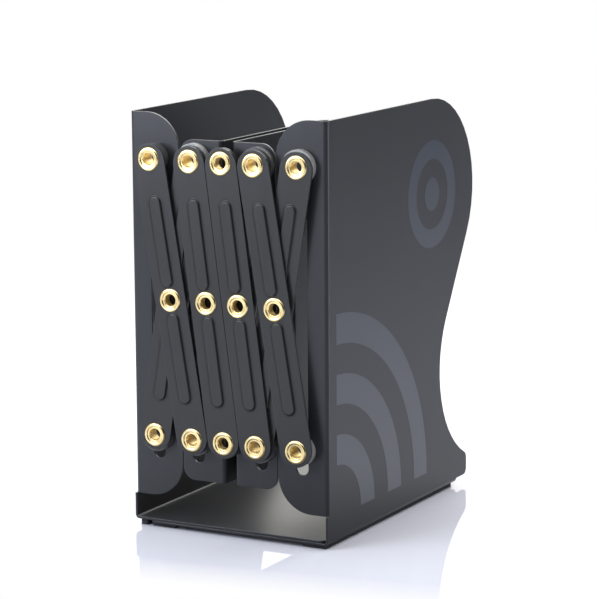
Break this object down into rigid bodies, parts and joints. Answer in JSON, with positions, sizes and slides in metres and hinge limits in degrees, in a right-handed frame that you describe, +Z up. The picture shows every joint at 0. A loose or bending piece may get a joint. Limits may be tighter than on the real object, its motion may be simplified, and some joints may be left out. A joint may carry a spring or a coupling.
{
  "type": "expanding scissor book shelf",
  "caption": "Expanding desktop book shelf: two bent sheet-metal ends and two hanging dividers on a riveted scissor linkage, sliding out sideways to fit a row of books.",
  "frame": {"origin": "centre of the closed shelf's box, on the surface it stands on", "axes": "+Z up, +X along the extension from the left end to the right end, the scissor linkage faces -Y"},
  "size_m": [0.1028, 0.1604, 0.1966],
  "materials": {
    "frame_steel": "satin powder coat, blue-black",
    "bar_steel": "satin powder coat, blue-black",
    "eyelet_metal": "polished pale gold",
    "spacer_metal": "satin",
    "foot_foam": "matt foam"
  },
  "bodies": {
    "left_end": {"left_end_frame": "frame_steel", "left_foot_strip": "foot_foam"},
    "front_1": {"front_bar_1": "bar_steel", "top_eyelet_0": "eyelet_metal", "middle_eyelet_1": "eyelet_metal", "bottom_eyelet_1": "eyelet_metal", "washers_1": "spacer_metal", "top_spacer_0": "spacer_metal", "bottom_spacer_1": "spacer_metal"},
    "rear_1": {"rear_bar_1": "bar_steel", "bottom_eyelet_0": "eyelet_metal", "bottom_spacer_0": "spacer_metal"},
    "divider_left": {"left_divider": "frame_steel"},
    "front_2": {"front_bar_2": "bar_steel", "top_eyelet_1": "eyelet_metal", "middle_eyelet_2": "eyelet_metal", "bottom_eyelet_2": "eyelet_metal", "washers_2": "spacer_metal", "top_spacer_1": "spacer_metal"},
    "rear_2": {"rear_bar_2": "bar_steel"},
    "front_3": {"front_bar_3": "bar_steel", "top_eyelet_2": "eyelet_metal", "middle_eyelet_3": "eyelet_metal", "bottom_eyelet_3": "eyelet_metal", "washers_3": "spacer_metal", "bottom_spacer_3": "spacer_metal"},
    "rear_3": {"rear_bar_3": "bar_steel"},
    "divider_right": {"right_divider": "frame_steel"},
    "front_4": {"front_bar_4": "bar_steel", "top_eyelet_3": "eyelet_metal", "middle_eyelet_4": "eyelet_metal", "bottom_eyelet_4": "eyelet_metal", "washers_4": "spacer_metal", "top_spacer_3": "spacer_metal", "bottom_spacer_4": "spacer_metal"},
    "rear_4": {"rear_bar_4": "bar_steel", "top_eyelet_4": "eyelet_metal", "top_spacer_4": "spacer_metal"},
    "right_end": {"right_end_frame": "frame_steel", "right_foot_pads": "foot_foam"}
  },
  "joints": [
    {"name": "left_divider_pivot", "type": "hinge", "parent": "divider_left", "child": "front_2", "pos_m": [-0.0168, -0.07625, 0.1756], "axis": [0, -1, 0], "range_deg": [0, 54.93]},
    {"name": "top_pivot_1", "type": "hinge", "parent": "front_2", "child": "rear_1", "pos_m": [-0.0168, -0.07625, 0.1756], "axis": [0, 1, 0], "range_deg": [0, 107.73]},
    {"name": "middle_pivot_1", "type": "hinge", "parent": "rear_1", "child": "front_1", "pos_m": [-0.0274, -0.07625, 0.11065], "axis": [0, -1, 0], "range_deg": [0, 105.65]},
    {"name": "top_pivot_0", "type": "hinge", "parent": "front_1", "child": "left_end", "pos_m": [-0.038, -0.07625, 0.1756], "axis": [0, 1, 0], "range_deg": [0, 52.85]},
    {"name": "middle_pivot_2", "type": "hinge", "parent": "front_2", "child": "rear_2", "pos_m": [-0.0084, -0.07625, 0.11065], "axis": [0, 1, 0], "range_deg": [0, 109.81]},
    {"name": "top_pivot_2", "type": "hinge", "parent": "rear_2", "child": "front_3", "pos_m": [0, -0.07625, 0.1756], "axis": [0, -1, 0], "range_deg": [0, 109.81]},
    {"name": "middle_pivot_3", "type": "hinge", "parent": "front_3", "child": "rear_3", "pos_m": [0.0084, -0.07625, 0.11065], "axis": [0, 1, 0], "range_deg": [0, 109.81]},
    {"name": "right_divider_pivot", "type": "hinge", "parent": "rear_3", "child": "divider_right", "pos_m": [0.0168, -0.07625, 0.1756], "axis": [0, -1, 0], "range_deg": [0, 54.93]},
    {"name": "top_pivot_3", "type": "hinge", "parent": "rear_3", "child": "front_4", "pos_m": [0.0168, -0.07625, 0.1756], "axis": [0, -1, 0], "range_deg": [0, 107.73]},
    {"name": "middle_pivot_4", "type": "hinge", "parent": "front_4", "child": "rear_4", "pos_m": [0.0274, -0.07625, 0.11065], "axis": [0, 1, 0], "range_deg": [0, 105.65]},
    {"name": "top_pivot_4", "type": "hinge", "parent": "rear_4", "child": "right_end", "pos_m": [0.038, -0.07625, 0.1756], "axis": [0, -1, 0], "range_deg": [0, 52.8]}
  ],
  "couplings": [
    {"joint": "left_divider_pivot", "follows": "top_pivot_4", "ratio": 1.0394},
    {"joint": "top_pivot_1", "follows": "top_pivot_4", "ratio": 2.0394},
    {"joint": "middle_pivot_1", "follows": "top_pivot_4", "ratio": 2},
    {"joint": "top_pivot_0", "follows": "top_pivot_4", "ratio": 1},
    {"joint": "middle_pivot_2", "follows": "top_pivot_4", "ratio": 2.0788},
    {"joint": "top_pivot_2", "follows": "top_pivot_4", "ratio": 2.0788},
    {"joint": "middle_pivot_3", "follows": "top_pivot_4", "ratio": 2.0788},
    {"joint": "right_divider_pivot", "follows": "top_pivot_4", "ratio": 1.0394},
    {"joint": "top_pivot_3", "follows": "top_pivot_4", "ratio": 2.0394},
    {"joint": "middle_pivot_4", "follows": "top_pivot_4", "ratio": 2}
  ]
}
